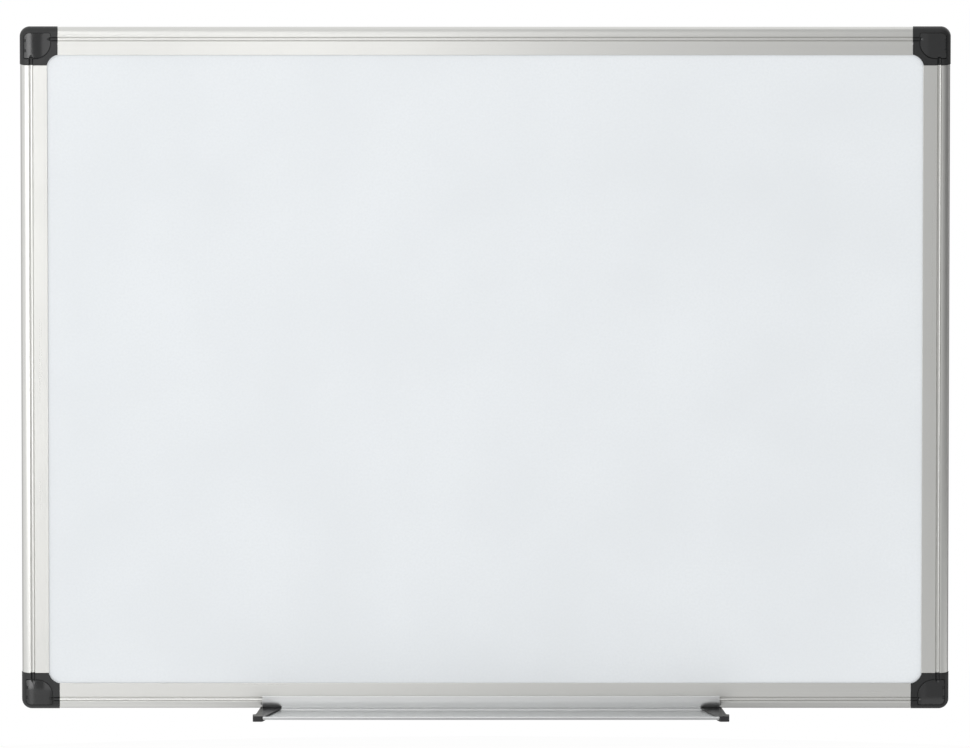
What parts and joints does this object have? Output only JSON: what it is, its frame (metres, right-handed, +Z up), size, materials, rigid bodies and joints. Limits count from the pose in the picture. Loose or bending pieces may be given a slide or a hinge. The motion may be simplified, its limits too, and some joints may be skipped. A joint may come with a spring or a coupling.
{
  "type": "whiteboard",
  "caption": "Wall-hung white writing board in an aluminium frame with black corner caps, hinged screw covers and a sliding pen tray.",
  "frame": {"origin": "middle of the board on the plane of the wall", "axes": "+X to the right as seen from the front, +Y into the wall, +Z up; the writing face looks along -Y"},
  "size_m": [1.2012, 0.074, 0.9042],
  "materials": {
    "rail_aluminium": "brushed and clear anodised",
    "tray_aluminium": "brushed and clear anodised",
    "melamine_sheet": "satin white melamine resin",
    "fibreboard": "raw pressed wood fibre",
    "backing_paper": "matt balancing paper",
    "cap_plastic": "moulded black ABS, half gloss",
    "cover_plastic": "moulded black ABS, half gloss",
    "tray_end_plastic": "moulded black ABS",
    "screw_steel": "zinc plated"
  },
  "bodies": {
    "board": {"face_sheet": "melamine_sheet", "core_board": "fibreboard", "backing_sheet": "backing_paper", "rail_top": "rail_aluminium", "rail_bottom": "rail_aluminium", "rail_left": "rail_aluminium", "rail_right": "rail_aluminium", "corner_cap_top_left": "cap_plastic", "corner_cap_top_right": "cap_plastic", "corner_cap_bottom_left": "cap_plastic", "corner_cap_bottom_right": "cap_plastic", "corner_screw_top_left_across": "screw_steel", "corner_screw_top_left_upright": "screw_steel", "corner_screw_top_right_across": "screw_steel", "corner_screw_top_right_upright": "screw_steel", "corner_screw_bottom_left_across": "screw_steel", "corner_screw_bottom_left_upright": "screw_steel", "corner_screw_bottom_right_across": "screw_steel", "corner_screw_bottom_right_upright": "screw_steel"},
    "cover_top_left": {"screw_cover_top_left": "cover_plastic"},
    "cover_top_right": {"screw_cover_top_right": "cover_plastic"},
    "cover_bottom_left": {"screw_cover_bottom_left": "cover_plastic"},
    "cover_bottom_right": {"screw_cover_bottom_right": "cover_plastic"},
    "tray": {"tray_channel": "tray_aluminium", "tray_end_left": "tray_end_plastic", "tray_end_right": "tray_end_plastic"}
  },
  "joints": [
    {"name": "cover_hinge_top_left", "type": "hinge", "parent": "board", "child": "cover_top_left", "pos_m": [-0.5936, -0.01525, 0.4274], "axis": [0, 0, -1], "range_deg": [0, 95]},
    {"name": "cover_hinge_top_right", "type": "hinge", "parent": "board", "child": "cover_top_right", "pos_m": [0.5936, -0.01525, 0.4274], "axis": [0, 0, 1], "range_deg": [0, 95]},
    {"name": "cover_hinge_bottom_left", "type": "hinge", "parent": "board", "child": "cover_bottom_left", "pos_m": [-0.5936, -0.01525, -0.4274], "axis": [0, 0, -1], "range_deg": [0, 95]},
    {"name": "cover_hinge_bottom_right", "type": "hinge", "parent": "board", "child": "cover_bottom_right", "pos_m": [0.5936, -0.01525, -0.4274], "axis": [0, 0, 1], "range_deg": [0, 95]},
    {"name": "tray_slide", "type": "slide", "parent": "board", "child": "tray", "axis": [1, 0, 0], "range_m": [-0.261, 0.246]}
  ]
}
